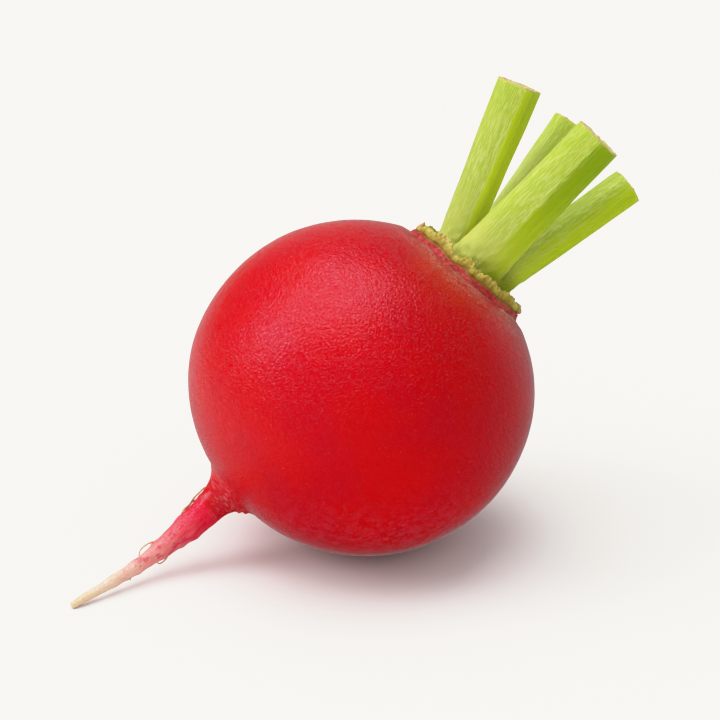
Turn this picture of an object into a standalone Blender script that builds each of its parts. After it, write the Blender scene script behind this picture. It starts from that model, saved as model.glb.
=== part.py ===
"""A red globe radish lying on its side: swollen root with taproot, crown, and four cut leaf stalks.

Metres, +Z up. The origin is the middle of the small flat spot that the bulb rests on. +X runs
towards the leaf end, +Y across the radish. "Along" is distance from the bulb's centre towards the
leaf end, measured on the root's own axis.
"""

import math

import bmesh
import bpy
import numpy as np
from mathutils import Vector

MM = 0.001
CLEARANCE = 0.3 * MM  # left between one grown piece and the next

# Swollen root
BULB_RADIUS = 17.0 * MM
BULB_CENTRE_HEIGHT = 16.45 * MM  # less than the radius, which makes the flat resting spot
LEAF_END_TILT = math.radians(45.0)  # slope of the axis at the leaf end
ROOT_END_TILT = math.radians(32.9)  # slope of the axis at the root end
RING_LEAN = math.radians(2.0)  # rings stand this much steeper than the axis, so the bulb is oval
LEAF_END_FLATTENING = 0.045  # share of the radius lost at the leaf end
ROOT_END_FLATTENING = 0.03
BULB_LOBES = ((2, 0.008, 0.6), (3, 0.006, 2.1), (5, 0.003, 4.0))  # (count, share, phase) round the axis

ROOT_END_REACH = BULB_RADIUS * (1.0 - ROOT_END_FLATTENING)

# Seat that the crown grows from
SEAT_RADIUS = 6.75 * MM
SEAT_FLOOR = 14.0 * MM

# Taproot
FILLET_RADIUS = 3.0 * MM  # hollow curve from bulb to taproot
TAPROOT_RADIUS = 1.55 * MM  # at the fillet
TIP_RADIUS = 0.36 * MM
TAPROOT_SLOPE = math.radians(37.0)  # slope of the first stretch
TAPROOT_TIP = Vector((-31.55 * MM, -4.5 * MM, 0.37 * MM))  # centre of the blunt end, on the table
TIP_SLOPE = math.radians(10.0)  # slope of the last stretch
TIP_HEADING = math.radians(17.0)  # how far the last stretch has swung to -Y
TAPROOT_STIFFNESS = 7.5 * MM  # length of the curve's two handles
ROOT_NODES = ((0.16, 0.10), (0.38, 0.12), (0.58, 0.14), (0.76, 0.16))  # (place, swelling) down the taproot

# Crown
CROWN_FOOT_RADIUS = SEAT_RADIUS - CLEARANCE
CROWN_FOOT = SEAT_FLOOR + CLEARANCE
CROWN_TOP = 16.05 * MM
RIM_RADIUS = 6.3 * MM
RIM_HEIGHT = 0.2 * MM  # above the crown's top
RIM_RAGGEDNESS = 0.22 * MM
RIM_WAVES = ((3, 1.0, 0.4), (5, 0.7, 2.0), (9, 0.6, 1.1), (14, 0.5, 3.3))  # (count, share, phase)
HEART_RADIUS = 0.6 * MM  # growing point between the stalks
HEART_HEIGHT = 1.1 * MM

# Leaf stalks
STALK_BASE = 15.6 * MM  # how far along the axis the stalks stand, inside the crown's sockets
FLARE_SHARE = 0.3  # share of the length over which a stalk's foot flares out
GROOVE_DEPTH = 0.16  # share of the radius, down the side that faces the heart
RIDGE_COUNT = 7
RIDGE_HEIGHT = 0.025  # share of the radius
STALKS = {
    # across and forward place the foot on the crown, in mm; leans are degrees from the crown's axis;
    # foot and top are the section's width and thickness in mm
    "leaf_stalk_upper": dict(across=-2.25, forward=-1.0, lean_across=-17.5, lean_forward=6.7,
                             length=18.4, foot=(3.6, 3.7), top=(3.8, 4.1)),
    "leaf_stalk_front": dict(across=0.2, forward=2.9, lean_across=4.1, lean_forward=5.9,
                             length=18.3, foot=(5.9, 3.4), top=(4.9, 4.4)),
    "leaf_stalk_back": dict(across=0.45, forward=-4.3, lean_across=-5.2, lean_forward=-5.0,
                            length=17.8, foot=(3.8, 2.7), top=(3.7, 3.4)),
    "leaf_stalk_lower": dict(across=2.5, forward=-0.9, lean_across=14.4, lean_forward=-6.6,
                             length=17.3, foot=(3.3, 3.2), top=(3.7, 3.8)),
}
FORWARD_HEADING = math.radians(31.7)  # the crown's "forward", turned from -Y towards -X and up

# Mesh fineness
BULB_SIDES = 56
BULB_RINGS = 30
FILLET_RINGS = 6
TAPROOT_RINGS = 20
TIP_RINGS = 3
CROWN_SIDES = 72
STALK_SIDES = 28
STALK_RINGS = 9

TABLE_SIZE = 100.0 * MM

FINISHES = {
    # object: (base colour, roughness)
    "root": ((0.62, 0.006, 0.02, 1.0), 0.35),
    "crown": ((0.42, 0.36, 0.10, 1.0), 0.6),
    "leaf_stalk_upper": ((0.42, 0.58, 0.09, 1.0), 0.4),
    "leaf_stalk_front": ((0.40, 0.57, 0.08, 1.0), 0.4),
    "leaf_stalk_back": ((0.43, 0.60, 0.14, 1.0), 0.4),
    "leaf_stalk_lower": ((0.41, 0.54, 0.06, 1.0), 0.4),
}


def smoothstep(low, high, value):
    """0 below low, 1 above high, and a smooth ramp between."""
    share = np.clip((value - low) / (high - low), 0.0, 1.0)
    return share * share * (3.0 - 2.0 * share)


def axis_direction(slope):
    """Unit vector towards the leaf end, in the XZ plane, at this slope above the table."""
    return Vector((math.cos(slope), 0.0, math.sin(slope)))


def bulb_centre():
    return Vector((0.0, 0.0, BULB_CENTRE_HEIGHT))


def axis_slope(along):
    """The axis bends evenly from the root end's slope to the leaf end's."""
    share = min(max((along / BULB_RADIUS + 1.0) / 2.0, 0.0), 1.0)
    return ROOT_END_TILT + (LEAF_END_TILT - ROOT_END_TILT) * share


def axis_point(along):
    return bulb_centre() + along * axis_direction(axis_slope(along))


def crown_frame():
    """Centre line of the crown: (unit axis, unit across, unit forward)."""
    axis = axis_direction(LEAF_END_TILT + RING_LEAN)
    down_slope = Vector((axis.z, 0.0, -axis.x))
    side = Vector((0.0, 1.0, 0.0))
    forward = -math.sin(FORWARD_HEADING) * down_slope - math.cos(FORWARD_HEADING) * side
    across = math.cos(FORWARD_HEADING) * down_slope - math.sin(FORWARD_HEADING) * side
    return axis, across, forward


def lobed(angles):
    """How much the bulb's radius departs from round, at angles about its axis."""
    return 1.0 + sum(share * np.cos(count * angles + phase) for count, share, phase in BULB_LOBES)


def own_material(name):
    """The plant tissue of one object."""
    colour, roughness = FINISHES[name]
    material = bpy.data.materials.new(name)
    material.use_nodes = True
    shader = material.node_tree.nodes["Principled BSDF"]
    shader.inputs["Base Color"].default_value = colour
    shader.inputs["Roughness"].default_value = roughness
    shader.inputs["Metallic"].default_value = 0.0
    return material


def mesh_object(name, mesh, smooth=True):
    """A finished bmesh as a named object in the scene."""
    bmesh.ops.recalc_face_normals(mesh, faces=mesh.faces)
    data = bpy.data.meshes.new(name)
    mesh.to_mesh(data)
    mesh.free()
    if smooth:
        data.shade_smooth()
        data.set_sharp_from_angle(angle=math.radians(40.0))
    if name in FINISHES:
        data.materials.append(own_material(name))
    thing = bpy.data.objects.new(name, data)
    bpy.context.scene.collection.objects.link(thing)
    return thing


def lofted(rings):
    """A closed bmesh through rings of points, each ring the same count, with both ends capped."""
    mesh = bmesh.new()
    loops = [[mesh.verts.new(point) for point in ring] for ring in rings]
    sides = len(loops[0])
    for lower, upper in zip(loops, loops[1:]):
        for i in range(sides):
            j = (i + 1) % sides
            mesh.faces.new((lower[i], lower[j], upper[j], upper[i]))
    for loop in (loops[0], loops[-1]):
        middle = mesh.verts.new(sum((v.co for v in loop), Vector()) / sides)
        for i in range(sides):
            mesh.faces.new((loop[i], loop[(i + 1) % sides], middle))
    return mesh


def cut_away(thing, cutter, name):
    """Takes the cutter's space out of the object."""
    modifier = thing.modifiers.new(name, "BOOLEAN")
    modifier.operation = "DIFFERENCE"
    modifier.solver = "EXACT"
    modifier.object = cutter


def as_cutter(thing):
    thing.hide_render = True
    thing.display_type = "WIRE"
    return thing


def bulb_profile():
    """(along, radius) of the bulb's skin, from the crown seat to where the fillet begins."""
    lip = math.asin(SEAT_RADIUS / (BULB_RADIUS * (1.0 - LEAF_END_FLATTENING)))
    fillet_starts = math.asin((TAPROOT_RADIUS + FILLET_RADIUS) / (ROOT_END_REACH + FILLET_RADIUS))
    polar = np.linspace(lip, math.pi - fillet_starts, BULB_RINGS)
    flattening = np.where(polar < math.pi / 2.0, LEAF_END_FLATTENING, ROOT_END_FLATTENING)
    reach = BULB_RADIUS * (1.0 - flattening * np.cos(polar) ** 4)
    return list(zip((reach * np.cos(polar)).tolist(), (reach * np.sin(polar)).tolist()))


def fillet_end():
    """Distance from the bulb's centre to where the fillet has become the taproot."""
    centre_radius = TAPROOT_RADIUS + FILLET_RADIUS
    return math.sqrt((ROOT_END_REACH + FILLET_RADIUS) ** 2 - centre_radius**2)


def fillet_profile():
    """(along, radius) round the hollow arc that is tangent to the bulb and to the taproot."""
    centre_along = -fillet_end()
    centre_radius = TAPROOT_RADIUS + FILLET_RADIUS
    towards_bulb = math.atan2(-centre_radius, -centre_along)
    angles = np.linspace(towards_bulb, -math.pi / 2.0, FILLET_RINGS + 1)[1:].tolist()
    return [(centre_along + FILLET_RADIUS * math.cos(a), centre_radius + FILLET_RADIUS * math.sin(a))
            for a in angles]


def taproot_curve(shares):
    """Points and leafward tangents of the taproot's centre line, a cubic curve down to the table."""
    start = axis_point(-fillet_end())
    start_direction = axis_direction(TAPROOT_SLOPE)
    heading = Vector((math.cos(TIP_HEADING), math.sin(TIP_HEADING), 0.0))
    tip_direction = heading * math.cos(TIP_SLOPE) + Vector((0.0, 0.0, math.sin(TIP_SLOPE)))
    handles = (start, start - start_direction * TAPROOT_STIFFNESS,
               TAPROOT_TIP + tip_direction * TAPROOT_STIFFNESS, TAPROOT_TIP)
    result = []
    for t in shares:
        s = 1.0 - t
        point = (s**3 * handles[0] + 3 * s * s * t * handles[1]
                 + 3 * s * t * t * handles[2] + t**3 * handles[3])
        tangent = (s * s * (handles[0] - handles[1]) + 2 * s * t * (handles[1] - handles[2])
                   + t * t * (handles[2] - handles[3]))
        result.append((point, tangent.normalized()))
    return result


def taproot_radius(share):
    """The taproot thins from fillet to tip, with a slight swelling at each node."""
    thinning = TIP_RADIUS + (TAPROOT_RADIUS - TIP_RADIUS) * (1.0 - share) ** 1.6
    swelling = sum(size * math.exp(-(((share - place) / 0.035) ** 2)) for place, size in ROOT_NODES)
    return thinning * (1.0 + swelling)


def ring(centre, axis, radii, sides):
    """Points round an axis. The first lies upwards of the centre, the turn is towards +Y."""
    side = Vector((0.0, 1.0, 0.0))
    side = (side - side.dot(axis) * axis).normalized()
    upward = axis.cross(side)
    points = []
    for i in range(sides):
        angle = 2.0 * math.pi * i / sides
        points.append(centre + (math.cos(angle) * upward + math.sin(angle) * side) * float(radii[i]))
    return points


def root_rings():
    """All rings of the root, from the seat's floor over the bulb and down the taproot."""
    angles = np.linspace(0.0, 2.0 * math.pi, BULB_SIDES, endpoint=False)
    rings = []
    profile = bulb_profile()
    lip_along = profile[0][0]
    skin = [(SEAT_FLOOR, SEAT_RADIUS), ((SEAT_FLOOR + lip_along) / 2.0, SEAT_RADIUS)]
    for along, radius in skin + profile + fillet_profile():
        normal = axis_direction(axis_slope(along) + RING_LEAN)
        roundness = 1.0 + (lobed(angles) - 1.0) * smoothstep(5.0 * MM, 14.0 * MM, radius)
        rings.append(ring(axis_point(along), normal, radius * roundness, BULB_SIDES))
    shares = np.linspace(0.0, 1.0, TAPROOT_RINGS + 1)[1:].tolist()
    for share, (point, tangent) in zip(shares, taproot_curve(shares)):
        radii = np.full(BULB_SIDES, taproot_radius(share))
        rings.append(ring(point, tangent, radii, BULB_SIDES))
    tangent = taproot_curve([1.0])[0][1]
    for step in range(1, TIP_RINGS + 1):
        bend = 0.5 * math.pi * step / (TIP_RINGS + 1)
        centre = TAPROOT_TIP - tangent * TIP_RADIUS * 0.6 * math.sin(bend)
        rings.append(ring(centre, tangent, np.full(BULB_SIDES, TIP_RADIUS * math.cos(bend)), BULB_SIDES))
    return rings


def make_root():
    """The bulb and its taproot, flattened where they touch the table."""
    root = mesh_object("root", lofted(root_rings()))
    table = bmesh.new()
    bmesh.ops.create_cube(table, size=TABLE_SIZE)
    bmesh.ops.translate(table, verts=table.verts, vec=(0.0, 0.0, -TABLE_SIZE / 2.0))
    cut_away(root, as_cutter(mesh_object("table_cutter", table, smooth=False)), "resting_spot")
    return root


def stalk_section(angle, width, thickness):
    """Distance from a stalk's centre line to its skin. Angle 0 faces away from the heart."""
    across = abs(math.sin(angle)) / (width / 2.0)
    outward = abs(math.cos(angle)) / (thickness / 2.0)
    oval = (across**2.3 + outward**2.3) ** (-1.0 / 2.3)
    from_heart_side = math.pi - abs(angle)
    groove = GROOVE_DEPTH * math.exp(-((from_heart_side / 0.45) ** 2))
    return oval * (1.0 - groove + RIDGE_HEIGHT * math.cos(RIDGE_COUNT * angle))


def stalk_rings(spec, growth=0.0):
    """Rings of one stalk. Growth makes every side and the foot that much larger, for its socket."""
    axis, across, forward = crown_frame()
    foot = axis_point(STALK_BASE) + across * spec["across"] * MM + forward * spec["forward"] * MM
    direction = (axis + across * math.tan(math.radians(spec["lean_across"]))
                 + forward * math.tan(math.radians(spec["lean_forward"]))).normalized()
    outward = across * spec["across"] + forward * spec["forward"]
    outward = (outward - outward.dot(direction) * direction).normalized()
    sideways = direction.cross(outward)
    length = spec["length"] * MM
    rings = []
    for step in range(STALK_RINGS + 1):
        share = (step / STALK_RINGS) ** 1.4
        flare = math.exp(-share / FLARE_SHARE)
        width, thickness = (top + (bottom - top) * flare + 2.0 * growth / MM
                            for bottom, top in zip(spec["foot"], spec["top"]))
        centre = foot + direction * (share * length - growth * (1.0 - share))
        points = []
        for i in range(STALK_SIDES):
            angle = 2.0 * math.pi * i / STALK_SIDES - math.pi
            reach = stalk_section(angle, width, thickness) * MM
            points.append(centre + (math.cos(angle) * outward + math.sin(angle) * sideways) * reach)
        rings.append(points)
    return rings


def make_stalk(name):
    return mesh_object(name, lofted(stalk_rings(STALKS[name])))


def crown_profile(angle):
    """(along, radius) of the crown at one angle round its axis, from its foot to the heart."""
    wave = sum(share * math.cos(count * angle + phase) for count, share, phase in RIM_WAVES)
    ragged = RIM_RAGGEDNESS * wave / 2.0
    return (
        (CROWN_FOOT, CROWN_FOOT_RADIUS * 0.6),
        (CROWN_FOOT, CROWN_FOOT_RADIUS),
        (CROWN_FOOT + 0.7 * MM, CROWN_FOOT_RADIUS),
        (CROWN_FOOT + 1.1 * MM, RIM_RADIUS - 0.1 * MM),
        (CROWN_TOP - 0.2 * MM, RIM_RADIUS + 0.6 * ragged),
        (CROWN_TOP + RIM_HEIGHT + ragged, RIM_RADIUS - 0.25 * MM + ragged),
        (CROWN_TOP + 0.1 * MM, RIM_RADIUS - 0.95 * MM),
        (CROWN_TOP, RIM_RADIUS * 0.6),
        (CROWN_TOP, HEART_RADIUS * 1.3),
        (CROWN_TOP + HEART_HEIGHT * 0.5, HEART_RADIUS),
        (CROWN_TOP + HEART_HEIGHT * 0.9, HEART_RADIUS * 0.55),
    )


def make_crown(stalk_names):
    """The low collar of leaf bases on the bulb's top, with a socket for each stalk."""
    axis, across, forward = crown_frame()
    outlines = []
    for i in range(CROWN_SIDES):
        angle = 2.0 * math.pi * i / CROWN_SIDES
        spoke = math.cos(angle) * across + math.sin(angle) * forward
        outlines.append([axis_point(along) + spoke * radius for along, radius in crown_profile(angle)])
    crown = mesh_object("crown", lofted(list(zip(*outlines))))
    for name in stalk_names:
        socket = mesh_object(name + "_socket", lofted(stalk_rings(STALKS[name], CLEARANCE)))
        cut_away(crown, as_cutter(socket), name)
    return crown


def main():
    for thing in list(bpy.data.objects):
        bpy.data.objects.remove(thing)
    make_root()
    make_crown(STALKS)
    for name in STALKS:
        make_stalk(name)


main()
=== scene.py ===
import math

import bpy
import numpy as np
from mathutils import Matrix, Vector


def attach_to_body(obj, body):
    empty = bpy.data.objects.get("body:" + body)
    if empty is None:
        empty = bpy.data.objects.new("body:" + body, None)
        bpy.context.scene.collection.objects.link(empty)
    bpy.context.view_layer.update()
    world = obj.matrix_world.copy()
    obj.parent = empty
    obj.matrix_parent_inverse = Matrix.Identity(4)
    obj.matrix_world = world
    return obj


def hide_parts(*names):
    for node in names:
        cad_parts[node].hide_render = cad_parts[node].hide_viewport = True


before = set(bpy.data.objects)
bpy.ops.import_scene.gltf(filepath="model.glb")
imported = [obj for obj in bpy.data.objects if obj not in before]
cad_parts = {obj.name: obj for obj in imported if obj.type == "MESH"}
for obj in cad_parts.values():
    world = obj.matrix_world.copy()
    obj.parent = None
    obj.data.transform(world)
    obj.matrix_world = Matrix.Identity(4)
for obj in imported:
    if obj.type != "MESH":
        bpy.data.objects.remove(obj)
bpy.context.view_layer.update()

mm = 0.001
degree = math.pi / 180.0


# --- shared shape helpers

def unit(vectors):
    return vectors / np.linalg.norm(vectors, axis=-1, keepdims=True)


def smoothStep(low, high, value):
    # 0 below low, 1 above high, 3t^2 - 2t^3 between
    share = np.clip((value - low) / (high - low), 0.0, 1.0)
    return share * share * (3.0 - 2.0 * share)


def hump(value, middle, halfWidth):
    # bell curve e^-((value - middle) / halfWidth)^2
    return np.exp(-(((value - middle) / halfWidth) ** 2))


def turnFrom(angles, middle):
    # signed angle from middle, between -pi and pi
    return (angles - middle + math.pi) % (2.0 * math.pi) - math.pi


def waves(points, wavelength, seed, count=28):
    # sum of cosine waves in random directions, their lengths near the one given, with variance 1
    dice = np.random.default_rng(seed)
    directions = unit(dice.normal(size=(count, 3)))
    lengths = wavelength * dice.uniform(0.7, 1.4, count)
    phases = dice.uniform(0.0, 2.0 * math.pi, count)
    crossings = points @ (directions * (2.0 * math.pi / lengths)[:, None]).T
    return np.cos(crossings + phases).sum(-1) * math.sqrt(2.0 / count)


def waveSum(points, pairs, seed):
    # the waves of each (wavelength, height), added up
    return sum(height * waves(points, length, seed + k) for k, (length, height) in enumerate(pairs))


def outwardNormals(rings):
    # cross product of the step along and the step round the surface, turned away from the rings' middles
    round_ = np.roll(rings, -1, 1) - np.roll(rings, 1, 1)
    normals = np.cross(np.gradient(rings, axis=0), round_)
    normals = normals / np.maximum(np.linalg.norm(normals, axis=-1, keepdims=True), 1e-12)
    outward = rings - rings.mean(1, keepdims=True)
    return normals * np.sign(np.median((normals * outward).sum(-1)))


def newObject(name, data):
    made = bpy.data.objects.new(name, data)
    bpy.context.scene.collection.objects.link(made)
    return made


def closedSurface(name, rings, values):
    # rings of points joined each to the next, with a fan to a middle point at both ends
    rows, sides = rings.shape[:2]
    here, onward = np.arange(sides), np.roll(np.arange(sides), -1)
    start, last = (np.arange(rows - 1) * sides)[:, None], (rows - 1) * sides
    quads = np.stack([start + here, start + onward, start + sides + onward, start + sides + here], -1)
    quads = quads.reshape(-1, 4)
    fans = np.vstack([np.stack([onward, here, np.full(sides, rows * sides)], -1),
                      np.stack([last + here, last + onward, np.full(sides, rows * sides + 1)], -1)])
    points = withMiddles(rings)
    triangles = np.vstack([quads[:, :3], quads[:, [0, 2, 3]], fans])
    a, b, c = (points[triangles[:, k]] for k in range(3))
    if np.einsum("ij,ij->i", a, np.cross(b, c)).sum() < 0.0:  # negative volume: inside out
        quads, fans = quads[:, ::-1], fans[:, ::-1]
    mesh = bpy.data.meshes.new(name)
    mesh.vertices.add(len(points))
    mesh.vertices.foreach_set("co", points.astype(np.float32).ravel())
    corners = np.concatenate([quads.ravel(), fans.ravel()])
    mesh.loops.add(len(corners))
    mesh.loops.foreach_set("vertex_index", corners.astype(np.int32))
    starts = np.concatenate([np.arange(len(quads)) * 4, len(quads) * 4 + np.arange(len(fans)) * 3])
    mesh.polygons.add(len(starts))
    mesh.polygons.foreach_set("loop_start", starts.astype(np.int32))
    mesh.update(calc_edges=True)
    mesh.shade_smooth()
    for key, value in values.items():
        flat = withMiddles(value)
        kind, field = ("FLOAT_VECTOR", "vector") if flat.ndim == 2 else ("FLOAT", "value")
        mesh.attributes.new(key, kind, "POINT").data.foreach_set(field, flat.astype(np.float32).ravel())
    return newObject(name, mesh)


def withMiddles(grid):
    # the grid as one list, followed by the means of its first and last rows
    return np.concatenate([grid.reshape((-1,) + grid.shape[2:]), grid[:1].mean(1), grid[-1:].mean(1)])


def attach(piece, material, nodeName):
    piece.data.materials.append(material)
    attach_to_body(piece, "root")
    if nodeName:
        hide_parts(nodeName)
    print("made", piece.name, len(piece.data.polygons), "faces")


# --- material helpers

def newMaterial(name):
    material = bpy.data.materials.new(name)
    material.use_nodes = True
    tree = material.node_tree
    return material, tree, tree.nodes["Principled BSDF"]


def addNode(tree, kind, sockets, **settings):
    node = tree.nodes.new("ShaderNode" + kind)
    for key, value in settings.items():
        setattr(node, key, value)
    for key, value in sockets.items():
        if isinstance(value, bpy.types.NodeSocket):
            tree.links.new(value, node.inputs[key])
        else:
            node.inputs[key].default_value = value
    return node


def madeFrom(kind, sockets, **settings):
    # a node in the tree of the sockets that go into it
    tree = next(value.id_data for value in sockets.values() if isinstance(value, bpy.types.NodeSocket))
    return addNode(tree, kind, sockets, **settings)


def objectPoint(tree):
    return addNode(tree, "TexCoord", {}).outputs["Object"]


def attribute(tree, name, output="Fac"):
    return addNode(tree, "Attribute", {}, attribute_name=name).outputs[output]


def noise(where, scale, detail=2.0, roughness=0.5, distortion=0.0):
    sockets = {"Vector": where, "Scale": scale, "Detail": detail, "Roughness": roughness,
               "Distortion": distortion}
    return madeFrom("TexNoise", sockets).outputs["Fac"]


def stretch(where, scale, start=(0.0, 0.0, 0.0)):
    # the point scaled along each axis, then moved by the start
    return madeFrom("Mapping", {"Vector": where, "Location": start, "Scale": scale}).outputs[0]


def window(value, low, high):
    # 0 at low and 1 at high, smooth between; low may be the larger one
    sockets = {"Value": value, "From Min": low, "From Max": high}
    return madeFrom("MapRange", sockets, interpolation_type="SMOOTHSTEP").outputs["Result"]


def between(value, low, high):
    # low at 0 and high at 1, straight between
    return madeFrom("MapRange", {"Value": value, "To Min": low, "To Max": high}).outputs["Result"]


def calc(operation, first, second):
    return madeFrom("Math", {0: first, 1: second}, operation=operation).outputs[0]


def times(*values):
    product = values[0]
    for value in values[1:]:
        product = calc("MULTIPLY", product, value)
    return product


def plus(*values):
    total = values[0]
    for value in values[1:]:
        total = calc("ADD", total, value)
    return total


def swing(value, width):
    # (value - 0.5) * width
    return times(calc("SUBTRACT", value, 0.5), width)


def blendColour(factor, first, second):
    return madeFrom("Mix", {0: factor, 6: first, 7: second}, data_type="RGBA").outputs[2]


def covered(look, colour, *layers):
    # the colour, turned towards each layer's colour in turn by the product of its shares
    for name, *shares in layers:
        colour = blendColour(times(*shares), colour, look[name])
    return colour


def ramp(value, stops):
    node = madeFrom("ValToRGB", {"Fac": value})
    elements = node.color_ramp.elements
    elements[0].position, elements[0].color = stops[0]
    elements[1].position, elements[1].color = stops[-1]
    for place, colour in stops[1:-1]:
        elements.new(place).color = colour
    return node.outputs["Color"]


def bump(height, distance):
    return madeFrom("Bump", {"Height": height, "Distance": distance, "Strength": 1.0}).outputs["Normal"]


def finish(tree, shader, look, colour, roughness, normal):
    for key, socket in (("Base Color", colour), ("Roughness", roughness), ("Normal", normal)):
        tree.links.new(socket, shader.inputs[key])
    for key, value in look["constants"].items():
        shader.inputs[key].default_value = value


# --- the root's own axis, the same as the solid's

bulb = dict(
    radius=17.0 * mm,
    centreHeight=16.45 * mm,  # less than the radius, which leaves a flat resting spot
    leafEndTilt=45.0 * degree,
    rootEndTilt=32.9 * degree,
    ringLean=2.0 * degree,
    crownTurn=31.7 * degree,  # of the crown's across and forward directions round its axis
    leafEndFlattening=0.045,
    rootEndFlattening=0.03,
    lobes=((2, 0.008, 0.6), (3, 0.006, 2.1), (5, 0.003, 4.0)),  # (count, share, phase)
    seatRadius=6.75 * mm,
    seatFloor=14.0 * mm,
    sides=330,
    rows=166,
    swell=0.030 * mm,  # broad unevenness, and the (wavelength, share) of its waves
    swellWaves=((14.0 * mm, 0.7), (7.0 * mm, 0.3)),
    dimple=0.004 * mm,
    proud=0.28 * mm,  # skin over the solid, most towards the top left, none towards the sides
    topLeft=np.array([-0.6, 0.0, 0.8]),
    lipWander=0.13 * mm,  # how far the edge below the crown strays, and its waves
    lipWaves=((5.0 * mm, 0.7), (1.6 * mm, 0.4)),
    crease=0.035 * mm,  # folds round the start of the taproot, one every foldStep
    foldStep=0.95 * mm,
    paintedShadeFacing=np.array([0.913, -0.16, 0.374]),  # the skin is painted a deeper red towards this side, as painted shade
)

taproot = dict(
    filletRadius=3.0 * mm,
    radius=1.55 * mm,
    tipRadius=0.36 * mm,
    slope=37.0 * degree,
    tip=np.array([-31.55, -4.5, 0.37]) * mm,
    tipSlope=10.0 * degree,
    tipHeading=17.0 * degree,
    stiffness=7.5 * mm,
    nodes=((0.16, 0.10), (0.38, 0.12), (0.58, 0.14), (0.76, 0.16)),  # (place, swelling)
    rows=84,
    unevenness=0.014,  # share of the radius
    tipFullness=0.15 * mm,  # on its upper side
    startFullness=0.18 * mm,  # on its lower side
    # lower edge of the junction: (angle round the axis, distance up the bulb, height)
    notches=((216.0 * degree, 1.86 * mm, 0.26 * mm), (214.0 * degree, 2.5 * mm, 0.20 * mm)),
    # scars of side roots: (share, angle round it, height)
    scars=((0.07, 2.6, 0.08 * mm), (0.24, 5.6, 0.06 * mm), (0.34, 2.5, 0.07 * mm), (0.47, 5.4, 0.09 * mm),
           (0.56, 2.7, 0.09 * mm), (0.66, 3.4, 0.10 * mm), (0.78, 5.9, 0.06 * mm)),
)


def axisDirection(slope):
    # (cos slope, 0, sin slope)
    return np.stack([np.cos(slope), np.zeros_like(slope), np.sin(slope)], -1)


def axisSlope(along):
    # turns evenly from the root end's slope to the leaf end's
    share = np.clip((along / bulb["radius"] + 1.0) / 2.0, 0.0, 1.0)
    return bulb["rootEndTilt"] + (bulb["leafEndTilt"] - bulb["rootEndTilt"]) * share


def axisPoint(along):
    along = np.asarray(along, float)
    return np.array([0.0, 0.0, bulb["centreHeight"]]) + along[..., None] * axisDirection(axisSlope(along))


def crownFrame():
    # unit axis, across and forward directions of the crown
    axis = axisDirection(np.array(bulb["leafEndTilt"] + bulb["ringLean"]))
    downSlope, sideways = np.array([axis[2], 0.0, -axis[0]]), np.array([0.0, 1.0, 0.0])
    turn = bulb["crownTurn"]
    return (axis, math.cos(turn) * downSlope - math.sin(turn) * sideways,
            -math.sin(turn) * downSlope - math.cos(turn) * sideways)


def ringPoints(centres, axes, radii, angles):
    # centre + radius * (cos angle * upward + sin angle * sideways), sideways being +Y made square to the axis
    sideways = unit(np.array([0.0, 1.0, 0.0]) - axes[:, 1:2] * axes)
    upward = np.cross(axes, sideways)
    spokes = (np.cos(angles)[None, :, None] * upward[:, None]
              + np.sin(angles)[None, :, None] * sideways[:, None])
    return centres[:, None] + spokes * radii[..., None]


def taprootCurve(shares):
    # cubic Bezier curve from the bulb's end to the tip on the table, and its leafward tangents
    start = axisPoint(-filletEnd())
    t, s = shares[:, None], 1.0 - shares[:, None]
    heading = np.array([math.cos(taproot["tipHeading"]), math.sin(taproot["tipHeading"]), 0.0])
    tipDirection = heading * math.cos(taproot["tipSlope"]) + np.array([0.0, 0.0, math.sin(taproot["tipSlope"])])
    second = start - axisDirection(np.array(taproot["slope"])) * taproot["stiffness"]
    third = taproot["tip"] + tipDirection * taproot["stiffness"]
    points = s**3 * start + 3 * s * s * t * second + 3 * s * t * t * third + t**3 * taproot["tip"]
    tangents = s * s * (start - second) + 2 * s * t * (second - third) + t * t * (third - taproot["tip"])
    return points, unit(tangents)


def taprootRadius(shares):
    # tip + (start - tip) * (1 - share)^1.6, with a small swelling at each node
    thin = taproot["tipRadius"] + (taproot["radius"] - taproot["tipRadius"]) * (1.0 - shares) ** 1.6
    return thin * (1.0 + sum(size * hump(shares, place, 0.035) for place, size in taproot["nodes"]))


def filletEnd():
    # where the hollow curve has become the taproot
    across = taproot["radius"] + taproot["filletRadius"]
    reach = bulb["radius"] * (1.0 - bulb["rootEndFlattening"]) + taproot["filletRadius"]
    return math.sqrt(reach**2 - across**2)


# --- root: bulb, hollow curve and taproot as one skin

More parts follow.
